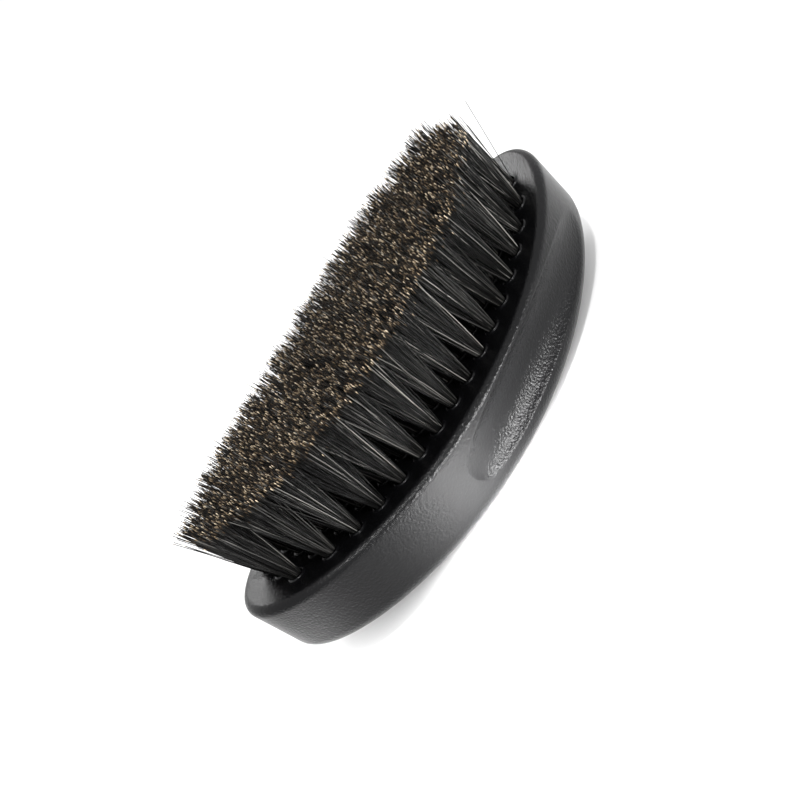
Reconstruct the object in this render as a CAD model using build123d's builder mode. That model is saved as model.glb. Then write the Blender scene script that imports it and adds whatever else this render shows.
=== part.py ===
"""Palm beard brush: an oval block, filled with tufts of boar bristle.

The block is curved along its length, so that its face is hollow and its back is domed. A scooped
grip runs along each side. The face holds ranks of blind holes. In each hole a tuft of bristle is
folded double round a flat anchor, which is driven down the hole and bites into its wall.

The frame is in millimetres: X along the block, Y across it and Z up out of the bristles, with the
origin at the middle of the flat that the back rests on.
"""

import os

from build123d import *

# Block: the oval outline, and the curves of its face and back
block_length = 120.0
block_width = 56.5
block_thickness = 18.5  # at the middle, from the rest flat to the face
face_hollow = 7.4  # how far the face's ends stand above its middle
back_rise = 10.0  # how far the back curves up to each end
back_crown = 1.6  # how far the back curves up to each side
rest_flat_depth = 0.4  # how much of the dome the rest flat takes off
side_slope = 0.06  # how far the sides lean in, for each millimetre down from the rim
rim_radius = 1.8  # rounding between the side and the face
back_radius = 4.0  # rounding between the side and the back

# Grips: a round bar's path beside the block, as (share of the way to the block's end, how deep
# the bar cuts into the side, how far the bar's middle is below the middle of the face). The cut
# starts shallow, so that its nose is narrow, and is below zero where the bar has left the side.
grip_bar_radius = 10.5
grip_path = [
    (-0.24, 0.9, 8.9),
    (0.00, 1.9, 8.0),
    (0.25, 1.8, 7.6),
    (0.50, 1.5, 7.3),
    (0.70, 0.7, 7.0),
    (0.82, -0.2, 6.7),
    (0.90, -1.1, 6.2),
]
grip_edge_radius = 0.6  # rounding of each grip's edges

# Tuft holes: ranks across the face, inside an oval
rank_count = 17
end_margin = 9.0  # from the block's outline to the oval, at the ends
side_margin = 7.7  # and at the sides
field_fullness = 2.15  # 2 is an ellipse, and more is squarer
end_rank_inset = 1.7  # the first and last ranks, in from the ends of the oval
row_pitch = 6.5  # about how far apart the holes of one rank are
hole_diameter = 2.8
hole_depth = 9.0
hole_mouth = 0.3  # chamfer round each hole

# Tufts and anchors
tuft_clearance = 0.05  # between a tuft and its hole or its anchor
tuft_spacing = 0.4  # between neighbouring tufts at their tips
bristle_height = 21.8  # from the middle of the face to the trimmed tips
trim_hollow = 5.1  # how far the trim curves up over half the block's length
anchor_thickness = 0.4
anchor_height = 2.2
anchor_bite = 0.25  # how far each end of an anchor sinks into the hole's wall
anchor_lift = 1.0  # above the bottom of the hole, where the fold passes under it

half_length = block_length / 2
half_width = block_width / 2
rim_height = block_thickness + face_hollow
trim_height = block_thickness + bristle_height
tall = 2 * trim_height  # well above everything here
hole_radius = hole_diameter / 2
tuft_radius = hole_radius - tuft_clearance
field_half_length = half_length - end_margin
field_half_width = half_width - side_margin


def arc_radius(half_chord, rise):
    """The radius of an arc that rises that far at half_chord from its lowest point."""
    return (half_chord**2 + rise**2) / (2 * rise)


def arc_rise(radius, distance):
    """How far an arc of that radius has risen at that distance from its lowest point."""
    return radius - (radius**2 - distance**2) ** 0.5


face_curve = arc_radius(half_length, face_hollow)
trim_curve = arc_radius(half_length, trim_hollow)
back_curve = arc_radius(half_length, back_rise)
crown_curve = arc_radius(half_width, back_crown)


def face_height(x):
    return block_thickness + arc_rise(face_curve, x)


def outline(height):
    """Half the length and half the width of the oval that the sides follow at that height.

    The block is its full length at the ends of the rim, and its full width at the rim's low middle.
    """
    inset = (rim_height - height) * side_slope
    return half_length - inset, half_width + face_hollow * side_slope - inset


def beside_block(share, outward, height):
    """A point that far out from the block's side, at that share of the way to its end."""
    long, wide = outline(height)
    x = long * share
    y = wide * (1 - share**2) ** 0.5
    normal = Vector(x / long**2, -y / wide**2).normalized()
    return Vector(x, -y, height) + normal * outward


def rank_holes(x):
    """The middle of each hole's mouth in the rank at x."""
    share = 1 - abs(x / field_half_length) ** field_fullness
    reach = field_half_width * share ** (1 / field_fullness)
    gaps = round(2 * reach / row_pitch)
    return [Vector(x, reach * (2 * hole / gaps - 1), face_height(x)) for hole in range(gaps + 1)]


first_rank = end_rank_inset - field_half_length
rank_pitch = -2 * first_rank / (rank_count - 1)
ranks = [rank_holes(first_rank + rank * rank_pitch) for rank in range(rank_count)]
closest_holes = min([rank_pitch] + [holes[1].Y - holes[0].Y for holes in ranks])
tuft_tip_radius = (closest_holes - tuft_spacing) / 2


def write(part, name):
    part.label = name
    export_step(part, f"parts/{name}.step")


os.makedirs("parts", exist_ok=True)

# The bar that cuts one grip, with a round nose
with BuildPart() as grip_bar:
    path_points = [
        beside_block(share, grip_bar_radius - depth, block_thickness - drop)
        for share, depth, drop in grip_path
    ]
    with BuildLine() as bar_path:
        Spline(path_points)
    with BuildSketch(Plane(path_points[0], z_dir=bar_path.line % 0)):
        Circle(grip_bar_radius)
    sweep(path=bar_path.line)
    with Locations(path_points[0]):
        Sphere(grip_bar_radius)

# One anchor, below the middle of its hole's mouth
anchor_length = hole_diameter + 2 * anchor_bite
with BuildPart(Plane.XY.offset(anchor_lift - hole_depth)) as anchor:
    Box(anchor_thickness, anchor_length, anchor_height, align=(Align.CENTER, Align.CENTER, Align.MIN))

# The drill for one hole, with the notches that its anchor bites. It reaches as far above the face
# as below it.
with BuildPart() as drill:
    with BuildSketch(Plane.XZ):
        with BuildLine():
            Polyline(
                (0, -hole_depth),
                (hole_radius, -hole_depth),
                (hole_radius, -hole_mouth),
                (hole_radius + 2 * hole_mouth, hole_mouth),
                (hole_radius + 2 * hole_mouth, hole_depth),
                (0, hole_depth),
                close=True,
            )
        make_face()
    revolve(axis=Axis.Z)
    add(anchor.part)

# One tuft, before its tips are trimmed, with the slot that its anchor fills
with BuildPart() as tuft:
    with BuildSketch(Plane.XZ):
        with BuildLine():
            Polyline(
                (0, tuft_clearance - hole_depth),
                (tuft_radius, tuft_clearance - hole_depth),
                (tuft_radius, 0),
                (tuft_tip_radius, bristle_height),
                (tuft_tip_radius, 2 * bristle_height),
                (0, 2 * bristle_height),
                close=True,
            )
        make_face()
    revolve(axis=Axis.Z)
    with Locations((0, 0, anchor_lift - hole_depth - tuft_clearance)):
        Box(
            anchor_thickness + 2 * tuft_clearance,
            anchor_length,
            anchor_height + 2 * tuft_clearance,
            align=(Align.CENTER, Align.CENTER, Align.MIN),
            mode=Mode.SUBTRACT,
        )

# What the trim leaves
with BuildPart() as trim:
    with BuildSketch(Plane.XZ):
        Rectangle(block_length, tall, align=(Align.CENTER, Align.MIN))
        with Locations((0, trim_height + trim_curve)):
            Circle(trim_curve, mode=Mode.SUBTRACT)
    extrude(amount=block_width, both=True)

# Block
with BuildPart() as block:
    for height in -rest_flat_depth, rim_height:
        with BuildSketch(Plane.XY.offset(height)):
            Ellipse(*outline(height))
    loft()
    with BuildSketch(Plane.XZ):
        with Locations((0, block_thickness + face_curve)):
            Circle(face_curve)
    extrude(amount=block_width, both=True, mode=Mode.SUBTRACT)
    with BuildSketch(Plane.YZ):
        with BuildLine():
            hub_height = back_curve - rest_flat_depth
            side_height = arc_rise(crown_curve, half_width) - rest_flat_depth
            crown = ThreePointArc(
                (-half_width, side_height),
                (0, -rest_flat_depth),
                (half_width, side_height),
            )
            Polyline(crown @ 1, (half_width, hub_height), (-half_width, hub_height), crown @ 0)
        make_face()
    revolve(axis=Axis((0, 0, hub_height), (0, 1, 0)), mode=Mode.INTERSECT)
    split(bisect_by=Plane.XY)
    face = block.faces().filter_by(GeomType.CYLINDER)[0]
    fillet(face.edges(), rim_radius)
    dome = block.faces().filter_by(GeomType.REVOLUTION)[0]
    fillet(dome.edges().sort_by(Axis.Z)[1:], back_radius)  # the lowest is round the rest flat
    for bar in grip_bar.part, grip_bar.part.mirror(Plane.XZ):
        add(bar, mode=Mode.SUBTRACT)
        fillet(block.edges(Select.LAST), grip_edge_radius)
    for holes in ranks:
        with Locations(holes):
            add(drill.part, mode=Mode.SUBTRACT)
write(block.part, "block")

# Tufts and anchors, one file of each for each rank
for number, holes in enumerate(ranks, 1):
    with BuildPart() as tuft_rank:
        with Locations(holes):
            add(tuft.part)
        add(trim.part, mode=Mode.INTERSECT)
    write(tuft_rank.part, f"tuft_rank_{number:02}")

    with BuildPart() as anchor_rank:
        with Locations(holes):
            add(anchor.part)
    write(anchor_rank.part, f"anchor_rank_{number:02}")
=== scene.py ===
"""The looks of a palm beard brush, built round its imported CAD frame.

The block is a fine mesh of the same shape as the CAD block, in black lacquer with a slight orange
peel. Each rank of tufts is a mesh of separate bristles, fanned out of their holes and trimmed to
the hollow curve. Sizes are in millimetres until a mesh, a light or the camera is made, and in
metres from there on.
"""

import math

import bpy
import numpy as np
from mathutils import Matrix, Vector
from mathutils.geometry import delaunay_2d_cdt

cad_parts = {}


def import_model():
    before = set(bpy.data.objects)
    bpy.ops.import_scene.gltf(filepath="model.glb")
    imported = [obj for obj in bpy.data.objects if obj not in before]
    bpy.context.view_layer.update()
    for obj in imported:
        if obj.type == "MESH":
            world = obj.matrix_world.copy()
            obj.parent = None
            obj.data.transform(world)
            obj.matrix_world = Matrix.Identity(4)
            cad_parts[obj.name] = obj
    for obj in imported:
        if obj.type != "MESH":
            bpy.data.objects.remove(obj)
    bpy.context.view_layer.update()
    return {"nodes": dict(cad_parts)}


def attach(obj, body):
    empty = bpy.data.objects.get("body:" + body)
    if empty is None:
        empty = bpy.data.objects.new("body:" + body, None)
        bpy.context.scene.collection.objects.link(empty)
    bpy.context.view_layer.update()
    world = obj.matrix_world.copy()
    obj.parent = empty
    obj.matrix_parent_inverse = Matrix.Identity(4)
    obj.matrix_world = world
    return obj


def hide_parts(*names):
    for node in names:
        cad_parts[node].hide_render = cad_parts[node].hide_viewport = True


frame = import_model()

MM = 0.001

# Block, as in the CAD
HALF_LENGTH = 60.0
HALF_WIDTH = 28.25
THICKNESS = 18.5
FACE_HOLLOW = 7.4
BACK_RISE = 10.0
BACK_CROWN = 1.6
REST_FLAT_DEPTH = 0.4
SIDE_SLOPE = 0.06
RIM_RADIUS = 1.8
BACK_RADIUS = 4.0
RIM_HEIGHT = THICKNESS + FACE_HOLLOW

# Grips, as in the CAD. The path's points are the share of the way to the block's end, the depth of
# the cut and the drop below the middle of the face.
GRIP_BAR_RADIUS = 10.5
GRIP_PATH = [
    (-0.24, 0.9, 8.9),
    (0.00, 1.9, 8.0),
    (0.25, 1.8, 7.6),
    (0.50, 1.5, 7.3),
    (0.70, 0.7, 7.0),
    (0.82, -0.2, 6.7),
    (0.90, -1.1, 6.2),
]
PATH_DEGREE = 4  # of the smooth curve through the path
PATH_POINTS = 500
GRIP_SOFTNESS = 0.18  # half the depth over which a grip's edge is rounded

# The block's mesh, in points round it and steps down it
AROUND = 720
RIM_STEPS = 12
WALL_STEPS = 44
BACK_STEPS = 12
DOME_STEPS = 26

# Tufts, as in the CAD
RANK_COUNT = 17
END_MARGIN = 9.0
SIDE_MARGIN = 7.7
FIELD_FULLNESS = 2.15
END_RANK_INSET = 1.7
ROW_PITCH = 6.5
HOLE_RADIUS = 1.4
HOLE_DEPTH = 9.0
BRISTLE_HEIGHT = 21.8
TRIM_HOLLOW = 5.1

# The lip round each hole, as rings: how far out from the hole's wall, and how far above the face
LIP_SIDES = 28
LIP_RINGS = [
    (0.8, 0.0),
    (0.62, 0.08),
    (0.48, 0.25),
    (0.3, 0.37),
    (0.12, 0.29),
    (0.0, 0.0),
    (0.0, -1.2),
    (0.0, -HOLE_DEPTH),
]
LIP_WIDTH = LIP_RINGS[0][0]

# Bristles. A scatter is the standard deviation of a random part.
FIRST_SEED = 100
BRISTLES_PER_TUFT = 130
ROOT_DEPTH = 2.0  # below the mouth of the hole
ROOT_SPREAD = 0.85  # radius of the bundle in its hole
ROOT_SCATTER = 0.05
ROOT_WIDTH = 0.19
TIP_SPREAD = 3.5  # radius of the fan at the tips
TIP_SCATTER = 0.8
TIP_WIDTH = 0.15
TIP_DRIFT = -1.2  # how far the tips lean along X
TIP_REACH = 6.3  # no tip is further than this, sideways, from the middle of its hole
TUFT_LEAN_SCATTER = 0.35  # sideways, the same for all the tips of a tuft
STRAY_SHARE = 0.16
STRAY_SCATTER = 2.0
BOW_SCATTER = 0.3  # sideways bend, halfway up
TRIM_EXCESS = 0.25  # how far the tips that aren't cut shorter stand above the trim
CUT_SCATTER = 0.4  # how much shorter the tips are
TUFT_CUT_SCATTER = 0.2  # and how much shorter still a whole tuft is
SHORT_SHARE = 0.1
SHORT_RANGE = (0.5, 3.0)
LONG_SHARE = 0.04
LONG_RANGE = (0.2, 0.9)
SIDES = 4
RINGS = 6


def arc_radius(half_chord, rise):
    return (half_chord**2 + rise**2) / (2 * rise)


def arc_rise(radius, distance):
    return radius - np.sqrt(radius**2 - np.square(distance))


FACE_CURVE = arc_radius(HALF_LENGTH, FACE_HOLLOW)
TRIM_CURVE = arc_radius(HALF_LENGTH, TRIM_HOLLOW)
BACK_CURVE = arc_radius(HALF_LENGTH, BACK_RISE)
CROWN_CURVE = arc_radius(HALF_WIDTH, BACK_CROWN)


def face_height(x):
    return THICKNESS + arc_rise(FACE_CURVE, x)


def trim_height(x):
    return THICKNESS + BRISTLE_HEIGHT + arc_rise(TRIM_CURVE, x)


def back_height(x, y):
    """The dome of the back, before the rest flat is taken off it."""
    crown = arc_rise(CROWN_CURVE, y) - REST_FLAT_DEPTH
    hub = BACK_CURVE - REST_FLAT_DEPTH
    return hub - np.sqrt(np.square(hub - crown) - np.square(x))


def new_mesh(name, points, faces, smooth=True):
    """An object of those points, in millimetres, and those faces."""
    mesh = bpy.data.meshes.new(name)
    mesh.from_pydata((np.asarray(points) * MM).tolist(), [], faces)
    mesh.validate()
    mesh.polygons.foreach_set("use_smooth", [smooth] * len(mesh.polygons))
    made = bpy.data.objects.new(name, mesh)
    bpy.context.collection.objects.link(made)
    return made


def band(start, count, downward=False):
    """Faces between the ring of points that begins at start and the next ring.

    They face outward where the second ring is above the first, or up where it is inside it.
    Downward turns them over.
    """
    made = []
    for i in range(start, start + count):
        j = start + (i + 1 - start) % count
        if downward:
            made.append((i, i + count, j + count, j))
        else:
            made.append((i, j, j + count, i + count))
    return made


# Holes


def rank_holes(x):
    """The middles of the holes in the rank at x."""
    share = 1 - abs(x / (HALF_LENGTH - END_MARGIN)) ** FIELD_FULLNESS
    reach = (HALF_WIDTH - SIDE_MARGIN) * share ** (1 / FIELD_FULLNESS)
    gaps = round(2 * reach / ROW_PITCH)
    return [(x, reach * (2 * hole / gaps - 1)) for hole in range(gaps + 1)]


first_rank = END_RANK_INSET + END_MARGIN - HALF_LENGTH
ranks = [rank_holes(x) for x in np.linspace(first_rank, -first_rank, RANK_COUNT)]
holes = [hole for rank in ranks for hole in rank]


# Block


def side_outline(turn, height):
    """The sides' outline at those turns round the block, and its outward normal."""
    inset = (RIM_HEIGHT - height) * SIDE_SLOPE
    long = HALF_LENGTH - inset
    wide = HALF_WIDTH + FACE_HOLLOW * SIDE_SLOPE - inset
    place = np.stack([long * np.cos(turn), wide * np.sin(turn)], 1)
    normal = np.stack([np.cos(turn) / long, np.sin(turn) / wide], 1)
    return place, normal / np.linalg.norm(normal, axis=1)[:, None]


def grip_centres():
    """Points along the bar that cuts the near grip, closely spaced."""
    shares, depths, drops = np.array(GRIP_PATH).T
    fine = np.linspace(shares[0], shares[-1], PATH_POINTS)
    depth = np.polyval(np.polyfit(shares, depths, PATH_DEGREE), fine)
    height = THICKNESS - np.polyval(np.polyfit(shares, drops, PATH_DEGREE), fine)
    place, normal = side_outline(-np.arccos(fine), height)
    return np.column_stack([place + normal * (GRIP_BAR_RADIUS - depth)[:, None], height])


def grip_cut(points, normals):
    """How far the grips cut into the side at each point, along its inward normal."""
    centres = grip_centres()
    mirrored = points * [1, -1, 1]
    cut = np.full(len(points), -np.inf)
    for side, facing in (points, normals), (mirrored, normals * [1, -1, 1]):
        for centre in centres:
            away = side - centre
            outward = (away * facing).sum(1)
            inside = GRIP_BAR_RADIUS**2 - (away**2).sum(1) + outward**2
            reach = np.where(inside > 0, outward + np.sqrt(np.maximum(inside, 0)), -np.inf)
            cut = np.maximum(cut, np.where(outward < 0, reach, -np.inf))
    soft = np.square(np.clip(cut, -GRIP_SOFTNESS, GRIP_SOFTNESS) + GRIP_SOFTNESS)
    return np.where(cut > GRIP_SOFTNESS, cut, soft / (4 * GRIP_SOFTNESS))


def corners(turn):
    """Where the sides, carried on, would meet the face and the back.

    Gives the sides' outward normal, then the height and the inward slope of the face and of the
    back there.
    """
    passes = 8
    step = 0.5
    face_corner = np.full(len(turn), RIM_HEIGHT)
    back_corner = np.zeros(len(turn))
    for _ in range(passes):
        face_corner = face_height(side_outline(turn, face_corner)[0][:, 0])
        back_corner = back_height(*side_outline(turn, back_corner)[0].T)
    place, normal = side_outline(turn, face_corner)
    face_slope = (face_height((place - normal * step)[:, 0]) - face_corner) / step
    place, _ = side_outline(turn, back_corner)
    back_slope = (back_height(*(place - normal * step).T) - back_corner) / step
    return normal, face_corner, face_slope, back_corner, back_slope


def rim_rings(corner, slope):
    """Rings round the rim from the face to the side, as (how far in from the side, height)."""
    side_length = math.hypot(1, SIDE_SLOPE)
    square = 1 + slope * SIDE_SLOPE
    down = RIM_RADIUS * (slope * side_length - np.hypot(1, slope)) / square
    middle = RIM_RADIUS * side_length - SIDE_SLOPE * down
    first = np.arctan(slope)
    last = math.pi / 2 + math.atan(SIDE_SLOPE)
    rings = []
    for share in np.linspace(0, 1, RIM_STEPS + 1):
        angle = first + (last - first) * share
        inward = middle - RIM_RADIUS * np.sin(angle)
        rise = down + RIM_RADIUS * np.cos(angle)
        rings.append((inward + SIDE_SLOPE * rise, corner + rise))
    return rings


def back_rings(corner, slope):
    """Rings round the back's edge from the side to the dome, as (how far in, height)."""
    side_length = math.hypot(1, SIDE_SLOPE)
    square = 1 + slope * SIDE_SLOPE
    up = BACK_RADIUS * (np.hypot(1, slope) + slope * side_length) / square
    middle = BACK_RADIUS * side_length - SIDE_SLOPE * up
    first = math.atan(SIDE_SLOPE)
    last = math.pi / 2 + np.arctan(slope)
    rings = []
    for share in np.linspace(0, 1, BACK_STEPS + 1):
        angle = first + (last - first) * share
        inward = middle - BACK_RADIUS * np.cos(angle)
        rise = up - BACK_RADIUS * np.sin(angle)
        rings.append((inward + SIDE_SLOPE * rise, corner + rise))
    return rings


def block_sides():
    """The rings of points from the face down to the dome, before the grips are cut, and the normal."""
    turn = np.linspace(0, 2 * math.pi, AROUND, endpoint=False)
    normal, face_corner, face_slope, back_corner, back_slope = corners(turn)
    rim = rim_rings(face_corner, face_slope)
    back = back_rings(back_corner, back_slope)
    top = rim[-1][1]
    bottom = back[0][1]
    wall = [
        (np.zeros(AROUND), top + (bottom - top) * share)
        for share in np.linspace(0, 1, WALL_STEPS + 1)[1:-1]
    ]
    rings = []
    for inward, height in rim + wall + back:
        place, _ = side_outline(turn, height)
        rings.append(np.column_stack([place - normal * inward[:, None], height]))
    return rings, normal


def block_mesh():
    rings, normal = block_sides()
    sides = np.concatenate(rings)
    normals = np.tile(np.column_stack([normal, np.zeros(AROUND)]), (len(rings), 1))
    points = list(sides - normals * grip_cut(sides, normals)[:, None])
    faces = []
    for ring in range(len(rings) - 1):
        faces += band(ring * AROUND, AROUND, downward=True)
    add_dome(points, faces)
    add_face(points, faces)
    return new_mesh("lacquered_block", points, faces)


def add_dome(points, faces):
    """Closes the last ring of points with the dome, in rings that shrink to the rest flat's middle.

    The edge's rounding leaves that ring a little off the dome, and the dome takes this up quickly.
    """
    quickness = 4
    lip = np.array(points[-AROUND:])
    lip_rise = lip[:, 2] - back_height(*lip[:, :2].T)
    for ring in range(1, DOME_STEPS):
        share = 1 - ring / DOME_STEPS
        flat = lip[:, :2] * share
        height = back_height(*flat.T) + lip_rise * share**quickness
        faces += band(len(points) - AROUND, AROUND, downward=True)
        points += list(np.column_stack([flat, np.maximum(height, 0)]))
    start = len(points)
    points.append(np.zeros(3))
    for i in range(AROUND):
        faces.append((start - AROUND + i, start, start - AROUND + (i + 1) % AROUND))


def add_hole(points, faces, x, y):
    """Sinks one tuft hole into the face, from the outer ring of its lip down."""
    turn = np.linspace(0, 2 * math.pi, LIP_SIDES, endpoint=False)
    circle = np.stack([np.cos(turn), np.sin(turn)], 1)
    for ring, (out, rise) in enumerate(LIP_RINGS):
        place = circle * (HOLE_RADIUS + out) + [x, y]
        height = face_height(place[:, 0]) + rise
        if rise < 0:
            height = np.full(LIP_SIDES, face_height(x) + rise)
        if ring:
            faces += band(len(points) - LIP_SIDES, LIP_SIDES)
        points += list(np.column_stack([place, height]))
    faces.append(tuple(range(len(points) - LIP_SIDES, len(points))))


def add_face(points, faces):
    """Fills the first ring of points with the face, and sinks the tuft holes into it."""
    flat = [Vector(point[:2]) for point in points[:AROUND]]
    known = list(range(AROUND))
    edges = [(i, (i + 1) % AROUND) for i in range(AROUND)]
    for x, y in holes:
        first = len(points)
        add_hole(points, faces, x, y)
        start = len(flat)
        flat += [Vector(point[:2]) for point in points[first : first + LIP_SIDES]]
        known += list(range(first, first + LIP_SIDES))
        edges += [(start + i, start + (i + 1) % LIP_SIDES) for i in range(LIP_SIDES)]

    # Loose points between the holes, so that the face curves evenly
    spacing = 1.3
    rim_gap = 0.025  # kept free inside the rim, as a share of the half width
    room = 1 - RIM_RADIUS / HALF_WIDTH - rim_gap
    clear = HOLE_RADIUS + LIP_WIDTH + spacing / 2
    centres = np.array(holes)
    for x in np.arange(-HALF_LENGTH, HALF_LENGTH, spacing):
        for y in np.arange(-HALF_WIDTH, HALF_WIDTH, spacing):
            inside = math.hypot(x / HALF_LENGTH, y / HALF_WIDTH) < room
            if inside and np.hypot(*(centres - [x, y]).T).min() > clear:
                known.append(len(points))
                points.append(np.array([x, y, face_height(x)]))
                flat.append(Vector((x, y)))

    # Every triangle of the face, but not those across the holes
    lip_edge = (HOLE_RADIUS + LIP_WIDTH) * math.cos(math.pi / LIP_SIDES)
    all_triangles = 0
    merge_distance = 1e-6
    places, _, triangles, origins, _, _ = delaunay_2d_cdt(
        flat, edges, [], all_triangles, merge_distance
    )
    for triangle in triangles:
        middle = np.mean([places[i] for i in triangle], 0)
        if np.hypot(*(centres - middle).T).min() > lip_edge:
            faces.append(tuple(known[origins[i][0]] for i in triangle))


# Bristles


def tuft(centre, rng):
    """Each bristle's points, ring by ring, its shade and its tip's shade."""
    count = BRISTLES_PER_TUFT
    golden_angle = math.pi * (3 - math.sqrt(5))
    order = np.arange(count)
    angle = order * golden_angle + rng.uniform(0, 2 * math.pi)
    radius = np.sqrt((order + 0.5) / count)
    across = np.stack([np.cos(angle), np.sin(angle)], 1) * radius[:, None]
    root = across * ROOT_SPREAD + rng.normal(0, ROOT_SCATTER, (count, 2))
    lean = rng.normal(0, TUFT_LEAN_SCATTER, 2)
    tip = across * TIP_SPREAD + lean + [TIP_DRIFT, 0] + rng.normal(0, TIP_SCATTER, (count, 2))
    stray = rng.random(count) < STRAY_SHARE
    tip[stray] += rng.normal(0, STRAY_SCATTER, (stray.sum(), 2))
    tip *= np.minimum(1, TIP_REACH / np.linalg.norm(tip, axis=1))[:, None]
    bow = rng.normal(0, BOW_SCATTER, (count, 2))
    cut = np.abs(rng.normal(0, CUT_SCATTER, count)) + abs(rng.normal(0, TUFT_CUT_SCATTER))
    cut += np.where(rng.random(count) < SHORT_SHARE, rng.uniform(*SHORT_RANGE, count), 0)
    long = np.where(rng.random(count) < LONG_SHARE, rng.uniform(*LONG_RANGE, count), 0)
    top = trim_height(centre[0] + tip[:, 0]) - cut + long + TRIM_EXCESS
    bottom = np.full(count, face_height(centre[0]) - ROOT_DEPTH)
    shade = rng.random(count)
    tip_shade = rng.random(count)
    twist = rng.uniform(0, 2)
    turn = np.linspace(0, 2 * math.pi, SIDES, endpoint=False) + twist
    points = []
    for share in np.linspace(0, 1, RINGS):
        middle = root + (tip - root) * share + bow * math.sin(math.pi * share)
        half_width = (ROOT_WIDTH + (TIP_WIDTH - ROOT_WIDTH) * share) / 2
        height = bottom + (top - bottom) * share
        for a in turn:
            place = middle + centre + [half_width * math.cos(a), half_width * math.sin(a)]
            points.append(np.column_stack([place, height]))
    return np.stack(points, 1), shade, tip_shade


def bristle_faces(start):
    """The faces of one bristle, whose points begin at start, with its two ends."""
    made = []
    for ring in range(RINGS - 1):
        made += band(start + ring * SIDES, SIDES)
    top = start + (RINGS - 1) * SIDES
    made.append(tuple(range(top, top + SIDES)))
    made.append(tuple(reversed(range(start, start + SIDES))))
    return made


def bristle_rank(number, rank):
    """A rank's bristles. Each point's colour holds its share of the way up and the two shades."""
    rng = np.random.default_rng(FIRST_SEED + number)
    points = []
    faces = []
    colours = []
    share = np.repeat(np.linspace(0, 1, RINGS), SIDES)
    alpha = np.ones(len(share))
    for centre in rank:
        for bristle, shade, tip_shade in zip(*tuft(np.array(centre), rng)):
            faces += bristle_faces(len(points))
            points += list(bristle)
            colours.append(np.column_stack([share, shade * alpha, tip_shade * alpha, alpha]))
    made = new_mesh(f"bristles_{number:02}", points, faces)
    layer = made.data.color_attributes.new("bristle", "FLOAT_COLOR", "POINT")
    layer.data.foreach_set("color", np.concatenate(colours).ravel())
    return made


# Materials


def material(name):
    """A new material and its shader."""
    made = bpy.data.materials.new(name)
    made.use_nodes = True
    return made, made.node_tree.nodes["Principled BSDF"]


def lacquer():
    """Near-black gloss with a fine orange peel."""
    made, shader = material("black_lacquer")
    nodes = made.node_tree.nodes
    links = made.node_tree.links
    shader.inputs["Base Color"].default_value = (0.0015, 0.0015, 0.0018, 1)
    shader.inputs["Roughness"].default_value = 0.27
    shader.inputs["Specular IOR Level"].default_value = 0.2
    where = nodes.new("ShaderNodeTexCoord")
    peel = nodes.new("ShaderNodeTexNoise")
    peel.inputs["Scale"].default_value = 2000
    peel.inputs["Detail"].default_value = 2
    links.new(where.outputs["Object"], peel.inputs["Vector"])
    bump = nodes.new("ShaderNodeBump")
    bump.inputs["Strength"].default_value = 0.7
    bump.inputs["Distance"].default_value = 0.0002
    links.new(peel.outputs["Fac"], bump.inputs["Height"])
    links.new(bump.outputs["Normal"], shader.inputs["Normal"])
    return made


def bristle_material():
    """Mostly black bristle with a few grey ones, and tan tips that fade in at the very end."""
    made, shader = material("boar_bristle")
    nodes = made.node_tree.nodes
    links = made.node_tree.links
    shader.inputs["Roughness"].default_value = 0.3
    shader.inputs["Specular IOR Level"].default_value = 0.07
    hair = nodes.new("ShaderNodeVertexColor")
    hair.layer_name = "bristle"
    parts = nodes.new("ShaderNodeSeparateColor")  # red: share of the way up, green and blue: shades
    links.new(hair.outputs["Color"], parts.inputs["Color"])

    shaft = nodes.new("ShaderNodeValToRGB")
    shaft.color_ramp.elements[0].color = (0.003, 0.003, 0.003, 1)
    shaft.color_ramp.elements[1].color = (0.22, 0.215, 0.2, 1)
    shaft.color_ramp.elements.new(0.7).color = (0.006, 0.006, 0.0058, 1)
    shaft.color_ramp.elements.new(0.92).color = (0.04, 0.039, 0.037, 1)
    links.new(parts.outputs["Green"], shaft.inputs["Fac"])

    tip = nodes.new("ShaderNodeValToRGB")
    tip.color_ramp.elements[0].color = (0.002, 0.0015, 0.001, 1)
    tip.color_ramp.elements[1].color = (0.8, 0.68, 0.5, 1)
    tip.color_ramp.elements.new(0.5).color = (0.014, 0.009, 0.005, 1)
    tip.color_ramp.elements.new(0.74).color = (0.07, 0.048, 0.028, 1)
    tip.color_ramp.elements.new(0.9).color = (0.32, 0.24, 0.15, 1)
    links.new(parts.outputs["Blue"], tip.inputs["Fac"])

    fade = nodes.new("ShaderNodeMapRange")
    fade.inputs["From Min"].default_value = 0.965
    fade.inputs["From Max"].default_value = 0.99
    links.new(parts.outputs["Red"], fade.inputs["Value"])
    mix = nodes.new("ShaderNodeMix")
    mix.data_type = "RGBA"
    links.new(fade.outputs["Result"], mix.inputs["Factor"])
    links.new(shaft.outputs["Color"], mix.inputs["A"])
    links.new(tip.outputs["Color"], mix.inputs["B"])
    links.new(mix.outputs["Result"], shader.inputs["Base Color"])
    return made


def anchor_material():
    made, shader = material("anchor_wire")
    shader.inputs["Base Color"].default_value = (0.55, 0.54, 0.5, 1)
    shader.inputs["Metallic"].default_value = 1
    shader.inputs["Roughness"].default_value = 0.4
    return made


def floor_material():
    made, shader = material("studio_floor")
    shader.inputs["Base Color"].default_value = (0.94, 0.94, 0.94, 1)
    shader.inputs["Roughness"].default_value = 0.9
    return made


# Pieces

block = block_mesh()
block.data.materials.append(lacquer())
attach(block, "root")
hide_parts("block")

bristle_look = bristle_material()
wire_look = anchor_material()
for number, rank in enumerate(ranks, 1):
    bristles = bristle_rank(number, rank)
    bristles.data.materials.append(bristle_look)
    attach(bristles, "root")
    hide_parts(f"tuft_rank_{number:02}")
    for place in frame["nodes"][f"anchor_rank_{number:02}"].material_slots:
        place.material = wire_look

# Studio


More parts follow.
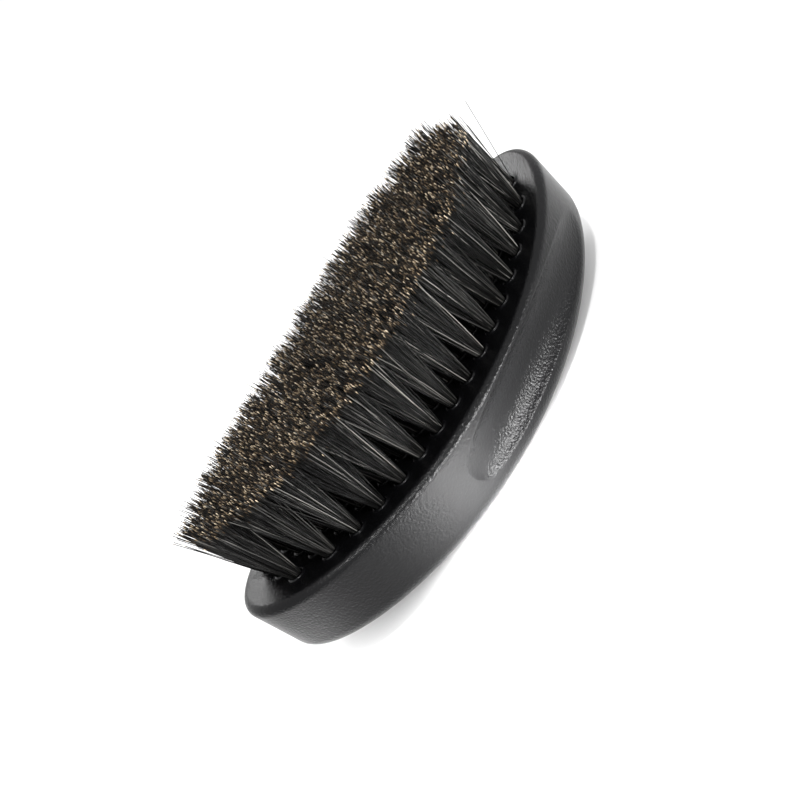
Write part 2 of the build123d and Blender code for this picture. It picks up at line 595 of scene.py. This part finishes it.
def floor():
    half = 20000
    made = new_mesh(
        "studio_floor",
        [(-half, -half, 0), (half, -half, 0), (half, half, 0), (-half, half, 0)],
        [(0, 1, 2, 3)],
        smooth=False,
    )
    made.data.materials.append(floor_material())


def softbox(name, place, target, width, height, power):
    """An oblong area light, with its place, target and size in millimetres."""
    light = bpy.data.lights.new(name, "AREA")
    light.energy = power
    light.shape = "RECTANGLE"
    light.size = width * MM
    light.size_y = height * MM
    made = bpy.data.objects.new(name, light)
    bpy.context.collection.objects.link(made)
    made.location = Vector(place) * MM
    made.rotation_mode = "QUATERNION"
    made.rotation_quaternion = (Vector(target) - Vector(place)).to_track_quat("-Z", "Y")


def lights():
    """Two lights from the front and one from behind, and two small ones close to the floor.

    The near wall and the block's end mirror mostly the floor just in front of them, and the small
    lights brighten that.
    """
    softbox("low_front", (70, -600, 35), (0, 0, 12), 300, 60, 7)
    softbox("back", (230, 560, 410), (50, 0, 20), 240, 240, 1.5)
    softbox("glow", (-21, -48, 15), (-21, -50, 0), 16, 30, 0.075)
    softbox("end_glow", (-82, -8, 16), (-83, -8, 0), 20, 30, 0.015)
    softbox("top", (-60, -280, 500), (0, 0, 20), 50, 50, 1.6)


def world():
    """An even white all round, and colours shown as they are."""
    made = bpy.data.worlds.new("studio")
    made.use_nodes = True
    made.node_tree.nodes["Background"].inputs["Color"].default_value = (1, 1, 1, 1)
    made.node_tree.nodes["Background"].inputs["Strength"].default_value = 1.08
    bpy.context.scene.world = made
    bpy.context.scene.view_settings.view_transform = "Standard"


def camera():
    """The photograph's view, with the camera rolled so that the brush stands on the slant."""
    azimuth = math.radians(-20.46)
    elevation = math.radians(26.2)
    roll = math.radians(-52.11)
    distance = 259.3
    aside = (-2.48, -4.07)
    sensor_width = 36
    lens = 54.243
    aim = Vector((0, 0, THICKNESS))
    back = Vector(
        (
            math.sin(azimuth) * math.cos(elevation),
            -math.cos(azimuth) * math.cos(elevation),
            math.sin(elevation),
        )
    )
    level = Vector((0, 0, 1)).cross(back).normalized()
    upright = back.cross(level)
    right = math.cos(roll) * level + math.sin(roll) * upright
    up = -math.sin(roll) * level + math.cos(roll) * upright
    view = bpy.data.cameras.new("camera")
    view.sensor_width = sensor_width
    view.lens = lens
    view.clip_start = 10 * MM
    made = bpy.data.objects.new("camera", view)
    bpy.context.collection.objects.link(made)
    place = (aim + back * distance + right * aside[0] + up * aside[1]) * MM
    turn = Matrix((right, up, back)).transposed().to_4x4()
    made.matrix_world = Matrix.Translation(place) @ turn
    bpy.context.scene.camera = made


floor()
world()
lights()
camera()
